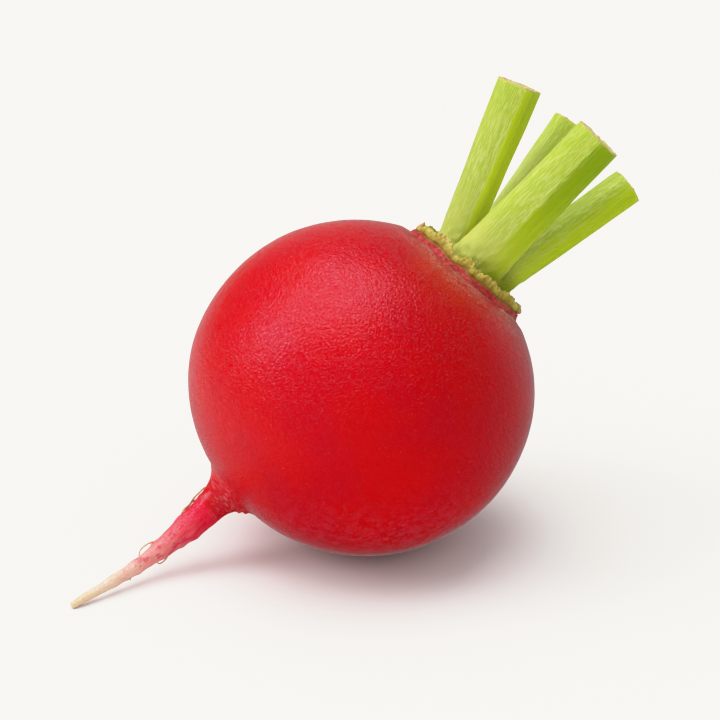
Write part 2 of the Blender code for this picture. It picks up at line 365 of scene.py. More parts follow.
def bulbProfile():
    # seat floor, seat wall with a rolled lip, then radius * (1 - flattening * cos^4) by the polar angle,
    # then an arc that is tangent to the bulb and to the taproot; along and radius of each row
    lip = math.asin(bulb["seatRadius"] / (bulb["radius"] * (1.0 - bulb["leafEndFlattening"])))
    centreRadius = taproot["radius"] + taproot["filletRadius"]
    reach = bulb["radius"] * (1.0 - bulb["rootEndFlattening"]) + taproot["filletRadius"]
    # rows draw together towards the taproot
    closing = 1.0 - (1.0 - np.linspace(0.0, 1.0, bulb["rows"])) ** 1.35
    polar = lip + (math.pi - math.asin(centreRadius / reach) - lip) * closing
    flattening = np.where(polar < math.pi / 2.0, bulb["leafEndFlattening"], bulb["rootEndFlattening"])
    distance = bulb["radius"] * (1.0 - flattening * np.cos(polar) ** 4)
    skin = np.stack([distance * np.cos(polar), distance * np.sin(polar)], -1)
    floor, wall = bulb["seatFloor"], bulb["seatRadius"]
    seat = np.array([(floor, 0.4 * mm), (floor, 2.5 * mm), (floor, 5.0 * mm), (floor, wall - 0.1 * mm),
                     (floor + 0.1 * mm, wall), (floor + 0.5 * mm, wall), (skin[0, 0] - 0.25 * mm, wall),
                     (skin[0, 0] - 0.1 * mm, wall + 0.02 * mm)])
    bends = np.linspace(math.atan2(-centreRadius, filletEnd()), -math.pi / 2.0, 25)[1:]
    fillet = np.stack([-filletEnd() + taproot["filletRadius"] * np.cos(bends),
                       centreRadius + taproot["filletRadius"] * np.sin(bends)], -1)
    return np.vstack([seat, skin, fillet]), len(seat)


def rootRings():
    angles = np.linspace(0.0, 2.0 * math.pi, bulb["sides"], endpoint=False)
    profile, seatRows = bulbProfile()
    along, radius = profile[:, 0], profile[:, 1]
    lobed = 1.0 + sum(share * np.cos(count * angles + phase) for count, share, phase in bulb["lobes"])
    roundness = 1.0 + (lobed - 1.0)[None] * smoothStep(5.0 * mm, 14.0 * mm, radius)[:, None]
    bulbRings = ringPoints(axisPoint(along), axisDirection(axisSlope(along) + bulb["ringLean"]),
                           radius[:, None] * roundness, angles)
    shares = np.linspace(0.0, 1.0, taproot["rows"] + 1)[1:]
    points, tangents = taprootCurve(shares)
    thin = np.repeat(taprootRadius(shares)[:, None], bulb["sides"], 1)
    tapRings = ringPoints(points, tangents, thin, angles)
    bends = np.linspace(0.0, 0.5 * math.pi, 7)[1:-1]
    end = taproot["tip"] - tangents[-1] * taproot["tipRadius"] * 0.6 * np.sin(bends)[:, None]
    tipRings = ringPoints(end, np.repeat(tangents[-1:], len(bends), 0),
                          np.repeat(taproot["tipRadius"] * np.cos(bends)[:, None], bulb["sides"], 1), angles)
    rings = np.concatenate([bulbRings, tapRings, tipRings])
    # distance down the skin from the lip, and the share of the way down the taproot
    down = np.concatenate([np.cumsum(np.hypot(*np.diff(profile, axis=0, prepend=profile[:1]).T)),
                           np.zeros(len(tapRings) + len(tipRings))])
    steps = np.linalg.norm(np.diff(points, axis=0, prepend=points[:1]), axis=-1)
    onTap = np.concatenate([np.cumsum(steps), np.repeat(steps.sum(), len(bends))])
    down[len(profile):] = down[len(profile) - 1] + onTap
    down -= down[seatRows]
    tapShare = np.concatenate([np.zeros(len(profile)), shares, np.ones(len(bends))])
    return rings, angles, down, tapShare, len(profile)


def rootRelief(rings, angles, down, tapShare, bulbRows):
    # height over the plain skin. On the bulb: swell waves + proud * (1 - the normal's y^2) * its lean to the
    # top left + dimple waves + crease * cosine folds * bell + a bell for each notch. On the taproot:
    # radius * waves + fullness + a bell for each scar. A smooth step joins the two at the junction
    height = bulb["swell"] * (waveSum(rings, bulb["swellWaves"], 11) - 0.5)
    normals = outwardNormals(rings)
    height += bulb["proud"] * (1.0 - normals[..., 1] ** 2) * (0.55 + 0.45 * normals @ bulb["topLeft"])
    height += bulb["dimple"] * waves(rings, 1.6 * mm, 13, 60)
    bulbLength = down[bulbRows - 1]
    toJunction = (bulbLength - down)[:, None]
    folds = np.cos(2.0 * math.pi * toJunction / bulb["foldStep"] + 2.2 * waves(rings, 3.2 * mm, 14))
    height += bulb["crease"] * folds * hump(toJunction, 2.4 * mm, 2.6 * mm) * (
        0.6 + 0.4 * waves(rings, 2.6 * mm, 15))
    for angle, place, size in taproot["notches"]:
        height += size * hump(turnFrom(angles, angle), 0.0, 0.13)[None] * hump(toJunction, place, 0.24 * mm)
    height *= smoothStep(0.0, 1.2 * mm, down)[:, None]
    # on the taproot
    tapMask = smoothStep(-1.5 * mm, 1.0 * mm, down - bulbLength)[:, None]
    radius = taprootRadius(tapShare)[:, None]
    longWaves = waves(np.stack(np.broadcast_arrays(np.cos(angles)[None] * 1.2, np.sin(angles)[None] * 1.2,
                                                   down[:, None] / (4.0 * mm)), -1), 1.5, 16)
    shortWaves = waves(rings, 0.9 * mm, 17, 40)
    tapHeight = radius * taproot["unevenness"] * (0.7 * longWaves + 0.5 * shortWaves - 0.2)
    upper = 0.5 + 0.5 * np.cos(angles)[None]
    share = tapShare[:, None]
    tapHeight += taproot["tipFullness"] * smoothStep(0.45, 0.75, share) * upper
    tapHeight += taproot["startFullness"] * hump(share, 0.12, 0.17) * (1.0 - upper)
    for place, angle, size in taproot["scars"]:
        spot = hump(turnFrom(angles, angle), 0.0, 0.32)[None] * hump(tapShare, place, 0.022)[:, None]
        tapHeight += size * spot
    height = height * (1.0 - tapMask) + tapHeight * tapMask
    tip = smoothStep(0.93, 1.0, tapShare)[:, None]
    return height * (1.0 - tip)


def makeRoot():
    # ring point + normal * relief + crown axis * stray of the lip, and nothing below the table
    rings, angles, down, tapShare, bulbRows = rootRings()
    height = rootRelief(rings, angles, down, tapShare, bulbRows)
    rings = rings + outwardNormals(rings) * height[..., None]
    circle = np.stack([np.cos(angles), np.sin(angles), np.zeros_like(angles)], -1) * bulb["seatRadius"]
    stray = bulb["lipWander"] * waveSum(circle, bulb["lipWaves"], 18)
    lip = hump(down, 0.0, 0.6 * mm)[:, None] * stray[None]
    rings = rings + crownFrame()[0] * lip[..., None]
    rings[..., 2] = np.maximum(rings[..., 2], 0.0)
    widths = np.linalg.norm(rings - rings.mean(1, keepdims=True), axis=-1)
    grain = np.stack([np.cos(angles)[None] * widths, np.sin(angles)[None] * widths,
                      np.repeat(down[:, None], len(angles), 1)], -1) / mm
    every = np.ones_like(widths)
    toJunction = (down[bulbRows - 1] - down)[:, None] * every
    onBulb = smoothStep(-1.5, 0.5, toJunction / mm)
    fromMiddle = rings - np.array([0.0, 0.0, bulb["centreHeight"]])
    values = {
        "grain": grain,
        "tapShare": tapShare[:, None] * every,
        "crownHaze": hump(down[:, None], 0.0, 2.3 * mm) * every,
        # painted shade: the red deepens towards the side facing right and up
        "paintedShadeSide": smoothStep(-0.05, 0.8, fromMiddle @ bulb["paintedShadeFacing"] / bulb["radius"]),
        "lipEdge": hump(down[:, None], 0.0, 0.32 * mm) * every,
        "underHaze": smoothStep(15.0 * mm, 0.0, rings[..., 2]) * smoothStep(0.0, 4.0 * mm, toJunction),
        "junction": hump(toJunction / mm, 1.4, 2.4) * onBulb,
        "calm": smoothStep(6.5, 3.0, toJunction / mm) * onBulb,
    }
    return closedSurface("rootSkin", rings, values)


rootLook = dict(
    scarlet=(0.560, 0.0002, 0.0006, 1.0),
    crimson=(0.510, 0.0002, 0.0060, 1.0),
    magenta=(0.560, 0.020, 0.075, 1.0),
    # painted shade: a deeper red for one side and for the creases
    paintedShadeRed=(0.300, 0.0004, 0.0020, 1.0),
    pale=(0.600, 0.270, 0.230, 1.0),
    rosy=(0.580, 0.130, 0.225, 1.0),
    dull=(0.330, 0.165, 0.120, 1.0),
    tan=(0.600, 0.390, 0.240, 1.0),
    # down the taproot: (share, colour)
    taproot=((0.0, (0.68, 0.0015, 0.024, 1.0)), (0.12, (0.73, 0.024, 0.054, 1.0)),
             (0.25, (0.76, 0.115, 0.130, 1.0)), (0.40, (0.79, 0.225, 0.205, 1.0)),
             (0.60, (0.79, 0.400, 0.320, 1.0)), (0.80, (0.77, 0.560, 0.405, 1.0)),
             (1.0, (0.74, 0.540, 0.320, 1.0))),
    constants={"IOR": 1.465, "Specular Tint": (1.0, 0.76, 1.10, 1.0)},
    roughness=(0.10, 0.145),
    wrinkle=0.135 * mm,
)


def rootMaterial():
    look = rootLook
    material, tree, shader = newMaterial("radishSkin")
    point, grain = objectPoint(tree), attribute(tree, "grain", "Vector")
    tap, haze, calm = attribute(tree, "tapShare"), attribute(tree, "crownHaze"), attribute(tree, "calm")
    colour = blendColour(window(noise(point, 150.0, 3.0), 0.35, 0.68), look["scarlet"], look["crimson"])
    # painted shade: a deeper red towards one side
    colour = covered(look, colour, ("paintedShadeRed", attribute(tree, "paintedShadeSide"), 0.54))
    # the taproot goes from red through blotched pink to cream
    streaks = noise(stretch(grain, (1.0, 1.0, 0.22)), 2.2, 3.0, 0.6)
    blotch = noise(stretch(grain, (1.0, 1.0, 0.55)), 1.5, 3.0, 0.65)
    fade = ramp(plus(tap, swing(streaks, 0.36)), look["taproot"])
    colour = blendColour(window(tap, 0.0, 0.03), colour, fade)
    # crinkled skin: a net of small creases, finer grain, and wrinkles that run round the root
    crinkle = noise(point, 3300.0, 1.0, 0.6, 0.6)
    creases = calc("ABSOLUTE", calc("SUBTRACT", crinkle, 0.5), 0.0)
    fine = noise(point, 4300.0, 0.0, 0.5)
    latitude = noise(stretch(grain, (0.35, 0.35, 1.0)), 2.8, 2.0, 0.5, 0.4)
    # pale flecks and a faint mottle under the bulb, tan specks below the crown, pale fibres round the junction
    fleck = noise(point, 3600.0, 2.0, 0.6)
    speck = noise(point, 6000.0, 1.0, 0.5)
    cloud = noise(point, 420.0, 3.0, 0.6)
    mottle = noise(point, 1300.0, 4.0, 0.7)
    fibres = noise(stretch(grain, (0.45, 0.45, 1.7)), 3.2, 2.0, 0.6, 0.4)
    under = attribute(tree, "underHaze")
    colour = covered(
        look, colour,
        ("magenta", window(tap, 0.04, 0.2), window(blotch, 0.53, 0.62), window(tap, 0.80, 0.40), 0.70),
        ("rosy", under, window(mottle, 0.40, 0.64), 0.27),
        ("pale", under, window(fleck, 0.58, 0.72), 0.14),
        ("pale", window(fleck, 0.66, 0.76), 0.14),
        ("dull", haze, window(mottle, 0.34, 0.64), 0.48),
        ("tan", haze, window(speck, 0.56, 0.66), window(cloud, 0.34, 0.58), 0.90),
        ("tan", attribute(tree, "lipEdge"), window(cloud, 0.42, 0.6), 0.55),
        ("pale", attribute(tree, "junction"), window(fibres, 0.52, 0.62), 0.26),
        # painted shade: the creases a deeper red
        ("paintedShadeRed", window(creases, 0.05, 0.0), window(tap, 0.2, 0.0), 0.22))
    height = plus(times(window(creases, 0.0, 0.10), 0.20), times(fine, 0.40), times(latitude, 0.50))
    # dry and dull below the crown; smoother and a little duller round the junction
    height = times(height, calc("SUBTRACT", 1.0, times(calm, 0.97)))
    roughness = plus(between(cloud, *look["roughness"]), times(haze, 0.34), times(calm, 0.14))
    finish(tree, shader, look, colour, roughness, bump(height, look["wrinkle"]))
    return material


# --- leaf stalks

stalks = dict(
    base=15.6 * mm,  # how far along the axis they stand
    flareShare=0.3,
    groove=0.16,
    sides=112,
    rows=110,
    capRows=14,
    ovalPower=2.3,
    trim=0.012,  # share taken off all round, to stay near the solid
    rib=0.007 * mm,  # fine ribs, this many times longer than wide
    ribStretch=14.0,
    footLumps=0.05 * mm,
    shadeSide=np.array([0.67, -0.50, -0.52]),  # the side painted as in shade faces this way
    capDepth=0.10 * mm,
    capDrop=0.03 * mm,
    capRagged=0.014 * mm,
    capUneven=0.022 * mm,
    farSide=np.array([0.319, 0.852, -0.415]),  # the cut slopes down this way
    # across and forward place the foot on the crown, in mm; leans are degrees from its axis; foot and top
    # are width and thickness in mm; ridges are (angle in degrees, height share, half width in degrees)
    # the last four of each are how much painted shade the shaded side gets, how much the lit side is painted
    # paler, how much painted light shows low on the shaded side, and a seed
    each={
        "stalkUpper": dict(node="leaf_stalk_upper", across=-2.25, forward=-1.0, leanAcross=-17.5,
                           leanForward=6.7, length=18.32, foot=(3.6, 3.7), top=(3.8, 4.1), widen=0.24,
                           ridges=((132, 0.120, 18), (70, 0.020, 20), (0, 0.03, 22), (-95, 0.04, 20)),
                           slant=0.06, paintedShadeDepth=0.0, tint=0.32, through=0.85, seed=31),
        "stalkFront": dict(node="leaf_stalk_front", across=0.2, forward=2.9, leanAcross=4.1,
                           leanForward=5.9, length=18.3, foot=(5.9, 3.4), top=(4.9, 4.4), widen=0.0,
                           ridges=((4, 0.130, 18), (-62, 0.030, 20), (66, 0.035, 20), (125, 0.03, 18)),
                           slant=0.10, paintedShadeDepth=1.0, tint=0.12, through=0.15, seed=32),
        "stalkBack": dict(node="leaf_stalk_back", across=0.30, forward=-4.3, leanAcross=-5.2,
                          leanForward=-5.0, length=18.05, foot=(3.8, 2.7), top=(4.2, 3.5), widen=0.0,
                          ridges=((-128, 0.04, 20), (-20, 0.04, 20), (60, 0.04, 20)),
                          slant=0.06, paintedShadeDepth=0.0, tint=1.0, through=0.3, seed=33),
        "stalkLower": dict(node="leaf_stalk_lower", across=2.5, forward=-0.9, leanAcross=14.4,
                           leanForward=-6.6, length=17.3, foot=(3.3, 3.2), top=(3.7, 3.8), widen=0.0,
                           ridges=((-128, 0.070, 17), (-62, 0.045, 18), (10, 0.03, 20), (80, 0.04, 20)),
                           slant=0.04, paintedShadeDepth=0.22, tint=0.25, through=0.0, seed=34),
    },
)


def stalkFrame(spec):
    # foot on the crown, direction, and the outward and sideways directions of its section
    axis, across, forward = crownFrame()
    foot = axisPoint(stalks["base"]) + (across * spec["across"] + forward * spec["forward"]) * mm
    direction = unit(axis + across * math.tan(spec["leanAcross"] * degree)
                     + forward * math.tan(spec["leanForward"] * degree))
    outward = across * spec["across"] + forward * spec["forward"]
    outward = unit(outward - outward.dot(direction) * direction)
    return foot, direction, outward, np.cross(direction, outward)


def stalkSection(angles, width, thickness, ridges, sharpness=1.0):
    # oval of ovalPower, hollowed on the heart's side, times soft ridges; angle 0 faces away from the heart
    power = stalks["ovalPower"]
    oval = (np.abs(np.sin(angles) / (width / 2.0)) ** power
            + np.abs(np.cos(angles) / (thickness / 2.0)) ** power) ** (-1.0 / power)
    shape = 1.0 - stalks["groove"] * hump(turnFrom(angles, math.pi), 0.0, 0.45) - stalks["trim"]
    for angle, height, halfWidth in ridges:
        away = np.abs(turnFrom(angles, angle * degree)) / (halfWidth * degree)
        shape = shape + height * sharpness * np.exp(-np.sqrt(away**2 + 0.09) * 1.4)
    return oval * shape


def makeStalk(name):
    # foot + direction * height + spoke * section * (1 + slow waves) + ribs, up to the cut; then rows that
    # close in over the cut face, hollowed by capDepth with a raised ragged rim
    spec = stalks["each"][name]
    foot, direction, outward, sideways = stalkFrame(spec)
    angles = np.linspace(-math.pi, math.pi, stalks["sides"], endpoint=False)[None]
    length = spec["length"] * mm
    side = np.linspace(0.0, 1.0, stalks["rows"])[:, None]
    width, thickness = (top + (bottom - top) * np.exp(-side / stalks["flareShare"])
                        for bottom, top in zip(spec["foot"], spec["top"]))
    reach = stalkSection(angles, width, thickness, spec["ridges"], 0.4 + 0.6 * smoothStep(0.05, 0.6, side)) * mm
    reach = reach + spec["widen"] * mm * smoothStep(0.3, 1.0, side)
    spokes = np.cos(angles)[..., None] * outward + np.sin(angles)[..., None] * sideways
    rings = foot + direction * (side * length)[..., None] + spokes * reach[..., None]
    stretched = np.stack([np.cos(angles) * reach, np.sin(angles) * reach,
                          side * length / stalks["ribStretch"] * np.ones_like(reach)], -1)
    slow = waves(rings, 5.0 * mm, spec["seed"] + 10)
    reach = reach * (1.0 + 0.006 * (slow - 0.5)) + stalks["rib"] * waves(stretched, 0.42 * mm, spec["seed"], 60)
    reach = reach + stalks["footLumps"] * waves(rings, 1.1 * mm, spec["seed"] + 20, 40) * hump(side, 0.0, 0.16)
    inward = np.linspace(0.0, 1.0, stalks["capRows"] + 1)[1:, None]
    capShare = 1.0 - inward**1.3 * 0.97
    capReach = reach[-1:] * capShare
    flatPoints = foot + direction * length + spokes * capReach[..., None]
    ragged = waves(flatPoints, 0.55 * mm, spec["seed"] + 30, 40)
    coarse = waves(flatPoints, 1.9 * mm, spec["seed"] + 40)
    rim = hump(capShare, 0.96, 0.06)
    dip = (-stalks["capDepth"] * smoothStep(1.0, 0.72, capShare) + stalks["capRagged"] * ragged
           + stalks["capUneven"] * coarse + stalks["capUneven"] * rim * (1.0 + ragged))
    farSide = unit(stalks["farSide"] - stalks["farSide"].dot(direction) * direction)
    slope = spec["slant"] * mm * 0.5 * (1.0 - (spokes @ farSide))
    capRings = flatPoints + direction * (dip - stalks["capDrop"] + slope * capShare)[..., None]
    edge = stalks["capUneven"] * waves(rings[-1:], 0.7 * mm, spec["seed"] + 50, 40)
    lift = hump(side, 1.0, 0.012) * (edge - stalks["capDrop"]) + smoothStep(0.93, 1.0, side) * slope
    rings = foot + direction * (side * length + lift)[..., None] + spokes * reach[..., None]
    every, onCap = np.ones_like(reach), np.ones_like(capReach)
    # how far each point faces the side painted as in shade
    shade = outwardNormals(rings) @ stalks["shadeSide"]
    # where a painted glint runs along the main ridge
    paintedGlintMask = hump(turnFrom(angles, spec["ridges"][0][0] * degree), 0.0, 0.11) * every
    grain = [np.stack([np.cos(angles) * part / mm, np.sin(angles) * part / mm, height * np.ones_like(part)], -1)
             for part, height in ((reach, side * spec["length"]), (capReach, spec["length"]))]
    values = {
        "grain": np.concatenate(grain),
        "rise": np.concatenate([side * every, onCap]),
        "cut": np.concatenate([hump(side, 1.0, 0.009) * every * 0.75,
                               np.clip(0.6 + inward * 2.0, 0, 1) * onCap]),
        "inward": np.concatenate([0.0 * every, inward * onCap]),
        "shade": np.concatenate([shade, np.repeat(shade[-1:], len(capReach), 0)]),
        "paintedGlintRidge": np.concatenate([paintedGlintMask, 0.0 * onCap]),
    }
    return closedSurface(name, np.concatenate([rings, capRings]), values)


stalkLook = dict(
    # painted light and shade: a green for the lit side and a brighter, more saturated one for the shaded side;
    # then a darker green for painted shade and random mottle
    light=(0.350, 0.450, 0.032, 1.0),
    paintedShadedSideGreen=(0.440, 0.560, 0.006, 1.0),
    green=(0.225, 0.345, 0.0005, 1.0),
    pale=(0.560, 0.620, 0.195, 1.0),
    base=(0.520, 0.535, 0.120, 1.0),
    # painted shade: a dark olive for the foot of the shaded side
    foot=(0.190, 0.215, 0.003, 1.0),
    # painted light: a light green low on the shaded side, for light that comes through
    litThrough=(0.640, 0.740, 0.012, 1.0),
    cream=(0.560, 0.430, 0.230, 1.0),
    brown=(0.430, 0.270, 0.120, 1.0),
    roughness=(0.30, 0.44),
    streakDepth=0.14 * mm,
    constants={"IOR": 1.36, "Specular Tint": (1.0, 1.0, 0.30, 1.0), "Subsurface Weight": 0.40,
               "Subsurface Radius": (1.1 * mm, 1.4 * mm, 0.35 * mm), "Subsurface Scale": 1.0},
)


def stalkMaterial(name, paintedShadeDepth, tint, through, seed):
    look = stalkLook
    material, tree, shader = newMaterial(name)
    grain, rise = attribute(tree, "grain", "Vector"), attribute(tree, "rise")
    along = stretch(grain, (1.0, 1.0, 0.07), (seed, 0.0, 0.0))
    broad = noise(along, 0.9, 2.0, 0.5)
    fibres = noise(along, 7.5, 3.0, 0.6)
    short = noise(stretch(grain, (1.0, 1.0, 0.085)), 10.0, 2.0, 0.65, 0.1)
    shade = plus(attribute(tree, "shade"), swing(broad, 0.5))
    high = plus(times(window(rise, 0.3, 0.8), 0.7), 0.3)
    # painted shade: a darker green on the shaded side, stronger higher up; and a darker mottle at random
    green = plus(times(window(shade, 0.0, 0.34), high, 0.85 * paintedShadeDepth),
                 times(window(broad, 0.40, 0.75), 0.45))
    notShaded = window(shade, 0.45, 0.0)
    faint = plus(times(notShaded, 0.92), 0.08)
    foot = plus(rise, swing(fibres, 0.25))
    # painted light and shade: the shaded side gets its own brighter, more saturated green
    colour = blendColour(window(shade, -0.1, 0.30), look["light"], look["paintedShadedSideGreen"])
    # yellower low on the shaded side, as painted light standing in for light that comes through; then pale
    # fibres, a painted glint, a pale and a dark foot, the dark one painted shade, and the lit side paler low
    # down as painted light
    colour = covered(
        look, colour,
        ("green", green),
        ("litThrough", window(shade, 0.0, 0.3), window(rise, 1.0, 0.35), through),
        # pale fibres, mostly on the lit side as painted light
        ("pale", window(fibres, 0.50, 0.66), faint, 0.55),
        ("pale", window(short, 0.50, 0.64), faint, 0.60),
        # painted glint along the main ridge
        ("pale", attribute(tree, "paintedGlintRidge"), window(short, 0.46, 0.60), 0.7),
        # a pale foot, as the stalk has, and paler on the lit side as painted light
        ("base", window(foot, 0.46, 0.04), plus(times(notShaded, 0.55), 0.22)),
        # painted shade: dark at the foot of the shaded side
        ("foot", window(rise, 0.22, 0.06), window(shade, -0.25, 0.15), 0.7),
        # painted light: the lit side paler low down
        ("pale", notShaded, window(rise, 1.05, 0.6), 0.50 * tint))
    # the cut: a brown dried rim, cream inside, with paler vessels
    speck = noise(grain, 3.4, 3.0, 0.6)
    face = blendColour(window(speck, 0.35, 0.62), look["cream"], look["pale"])
    rim = window(plus(attribute(tree, "inward"), swing(speck, 0.5)), 0.30, 0.05)
    cut = plus(attribute(tree, "cut"), swing(speck, 0.7))
    colour = blendColour(window(cut, 0.34, 0.52), colour, covered(look, face, ("brown", rim, 0.8)))
    grit = noise(objectPoint(tree), 3400.0, 2.0, 0.6)
    height = plus(times(fibres, 0.7), times(short, 0.5), times(grit, 0.35))
    finish(tree, shader, look, colour, between(fibres, *look["roughness"]), bump(height, look["streakDepth"]))
    return material


# --- crown: collar of old leaf bases that the stalks grow out of

crown = dict(
    sides=360,
    rowsPerStep=8,
    # (along, radius, share of the raggedness, share of the flare) from the foot to the growing point, in mm
    profile=(
        (14.45, 0.4, 0.0, 0.0), (14.45, 6.0, 0.0, 0.0), (14.70, 6.74, 0.0, 0.0), (14.96, 6.83, 0.0, 0.1),
        (15.20, 6.74, 0.1, 0.2), (15.48, 6.58, 0.2, 0.3), (15.66, 6.40, 0.3, 0.3), (15.84, 6.48, 0.6, 0.7),
        (16.24, 6.44, 1.0, 1.0), (16.54, 6.24, 1.2, 1.0), (16.22, 5.90, 0.6, 0.6), (15.98, 5.20, 0.3, 0.0),
        (15.92, 4.00, 0.0, 0.0), (15.95, 2.00, 0.0, 0.0), (16.15, 0.95, 0.0, 0.0), (16.65, 0.55, 0.0, 0.0),
        (17.05, 0.28, 0.0, 0.0),
    ),
    # (wavelength, height) of the ragged edge and of its flare, in mm, and the radius they are taken at
    edgeWaves=((3.2, 0.11), (1.4, 0.05), (0.42, 0.045)),
    flareWaves=((1.8, 0.07), (0.7, 0.03)),
    edgeRadius=6.3,
    # torn flaps: (angle in degrees, half width in degrees, height mm, outward mm)
    flaps=((180, 24, -0.45, 0.0), (0, 20, -0.40, -0.10), (90, 48, 0.20, -0.05), (183, 6, 0.35, 0.12),
           (-3, 4, 0.15, 0.22), (12, 3, 0.12, 0.24), (128, 8, 0.10, 0.05), (62, 7, 0.08, 0.05),
           (-70, 9, 0.15, 0.10), (-128, 7, 0.20, 0.10)),
    pucker=0.040 * mm,
    frill=0.032 * mm,
    collar=0.45 * mm,  # how high the tissue climbs round each stalk's foot
)


def alongSpline(keys, count):
    # Catmull-Rom curve through the keys (first axis), count steps between each two
    padded = np.concatenate([2 * keys[:1] - keys[1:2], keys, 2 * keys[-1:] - keys[-2:-1]])
    t = (np.arange(count) / count).reshape((-1,) + (1,) * (keys.ndim - 1))
    spans = []
    for k in range(1, len(keys)):
        a, b, c, d = (padded[k - 1 + i][None] for i in range(4))
        spans.append(0.5 * (2 * b + (c - a) * t + (2 * a - 5 * b + 4 * c - d) * t**2
                            + (3 * b - a - 3 * c + d) * t**3))
    return np.concatenate(spans + [keys[-1:]])


def footDistance(spec, across, forward):
    # distance from points on the crown to a stalk's outline, negative inside it, in mm
    dx, dy = across - spec["across"], forward - spec["forward"]
    heading = math.atan2(spec["forward"], spec["across"])
    angles = np.arctan2(dy, dx) - heading
    return np.hypot(dx, dy) - stalkSection(angles, spec["foot"][0], spec["foot"][1], ())


def makeCrown():
    # axis point + spoke * radius, along and radius = profile + raggedness * the row's shares, then a bell
    # for the collar round each stalk's foot, and normal * (pucker waves + lumps + frill waves)
    axis, across, forward = crownFrame()
    angles = np.linspace(0.0, 2.0 * math.pi, crown["sides"], endpoint=False)
    circle = np.stack([np.cos(angles), np.sin(angles), np.zeros_like(angles)], -1) * crown["edgeRadius"]
    ragged, flare = waveSum(circle, crown["edgeWaves"], 50), waveSum(circle, crown["flareWaves"], 55)
    for angle, halfWidth, lift, push in crown["flaps"]:
        here = hump(turnFrom(angles, angle * degree), 0.0, halfWidth * degree)
        ragged, flare = ragged + lift * here, flare + push * here
    profile = np.array(crown["profile"])
    keys = np.stack([profile[:, :1] + profile[:, 2:3] * ragged, profile[:, 1:2] + profile[:, 3:] * flare], -1)
    rows = alongSpline(keys, crown["rowsPerStep"])
    along, radius = rows[..., 0], rows[..., 1]
    step = np.linspace(0.0, len(crown["profile"]) - 1.0, len(rows))[:, None] * np.ones_like(along)
    onPlate = smoothStep(9.4, 10.6, step)
    x, y = radius * np.cos(angles), radius * np.sin(angles)
    plane = np.stack([x, y, np.zeros_like(x)], -1)
    for k, spec in enumerate(stalks["each"].values()):
        away = footDistance(spec, x, y)
        climb = 1.0 + 0.25 * waves(plane, 1.5, 70 + k)
        along = along + onPlate * crown["collar"] / mm * climb * hump(away, 0.05, 0.34)
    along = along + onPlate * (0.06 * waves(plane, 1.3, 75) + 0.02 * waves(plane, 0.45, 76, 50))
    spokes = np.cos(angles)[:, None] * across + np.sin(angles)[:, None] * forward
    rings = axisPoint(along * mm) + spokes[None] * (radius * mm)[..., None]
    # puckers that run round the band, and small lumps on the rim
    squeezed = np.stack([x * 0.42, y * 0.42, along], -1)
    band = hump(step, 5.0, 1.4)
    lumps = hump(step, 8.4, 1.6)
    height = crown["pucker"] * (band * waves(squeezed, 0.52, 77, 50)
                                + 0.5 * lumps * waves(rings / mm, 1.0, 78, 50))
    lengthwise = np.stack([x, y, along * 0.35], -1)
    height += crown["frill"] * hump(step, 8.0, 1.8) * waves(lengthwise, 0.33, 79, 60)
    rings = rings + outwardNormals(rings) * height[..., None]
    ends = hump(turnFrom(angles, math.pi), 0.0, 0.17) + hump(turnFrom(angles, 0.0), 0.0, 0.14)
    values = {
        "step": step,
        "grain": np.stack([x * 0.4, y * 0.4, along], -1),
        "endBump": ends * lumps,
        # depth of the puckers, which the colour darkens as painted shade
        "hollow": -height / mm,
    }
    return closedSurface("crownCollar", rings, values)


crownLook = dict(
    pink=(0.480, 0.012, 0.022, 1.0),
    deepPink=(0.300, 0.004, 0.007, 1.0),
    palePink=(0.540, 0.090, 0.080, 1.0),
    umber=(0.250, 0.120, 0.010, 1.0),
    olive=(0.370, 0.300, 0.018, 1.0),
    paleOlive=(0.510, 0.430, 0.090, 1.0),
    tan=(0.520, 0.280, 0.140, 1.0),
    heart=(0.380, 0.410, 0.110, 1.0),
    scar=(0.180, 0.110, 0.035, 1.0),
    roughness=(0.40, 0.65),
    wrinkle=0.24 * mm,
    constants={"IOR": 1.4},
)


def crownMaterial():
    look = crownLook
    material, tree, shader = newMaterial("crownTissue")
    point, grain, step = objectPoint(tree), attribute(tree, "grain", "Vector"), attribute(tree, "step")
    patch = noise(point, 900.0, 3.0, 0.6)
    fine = noise(point, 3200.0, 3.0, 0.65)
    streak = noise(grain, 3.2, 3.0, 0.6)
    ribs = noise(stretch(grain, (2.5, 2.5, 0.4)), 3.4, 2.0, 0.6)
    wander = plus(step, swing(patch, 2.4))
    # pink below, olive and umber on the rim
    pink = blendColour(window(streak, 0.42, 0.62), look["deepPink"], look["pink"])
    pink = covered(look, pink, ("palePink", window(fine, 0.50, 0.66), 0.60),
                   ("tan", window(patch, 0.48, 0.66), 0.12))
    olive = covered(
        look, blendColour(window(wander, 6.2, 8.0), look["umber"], look["olive"]),
        ("paleOlive", window(step, 7.0, 8.6), window(patch, 0.36, 0.60)),
        ("tan", window(fine, 0.54, 0.70), 0.35),
        # painted shade: umber in the hollows
        ("umber", window(attribute(tree, "hollow"), 0.0, 0.07), 0.7),
        ("umber", window(ribs, 0.50, 0.64), 0.55),
        ("tan", attribute(tree, "endBump")))
    colour = blendColour(window(wander, 5.0, 6.1), pink, olive)
    colour = covered(look, colour, ("tan", window(step, 3.5, 3.0), 0.5))
    # inside the rim: a pale plate with dark scars, and the growing point
    plate = blendColour(window(fine, 0.45, 0.60), look["heart"], look["scar"])
    colour = blendColour(times(window(wander, 10.0, 11.5), 0.7), colour, plate)
    colour = covered(look, colour, ("heart", window(step, 13.6, 14.6)))
    height = plus(times(fine, 0.6), times(streak, 0.7), times(ribs, 0.5))
    finish(tree, shader, look, colour, between(patch, *look["roughness"]), bump(height, look["wrinkle"]))
    return material


# --- root hairs along the taproot

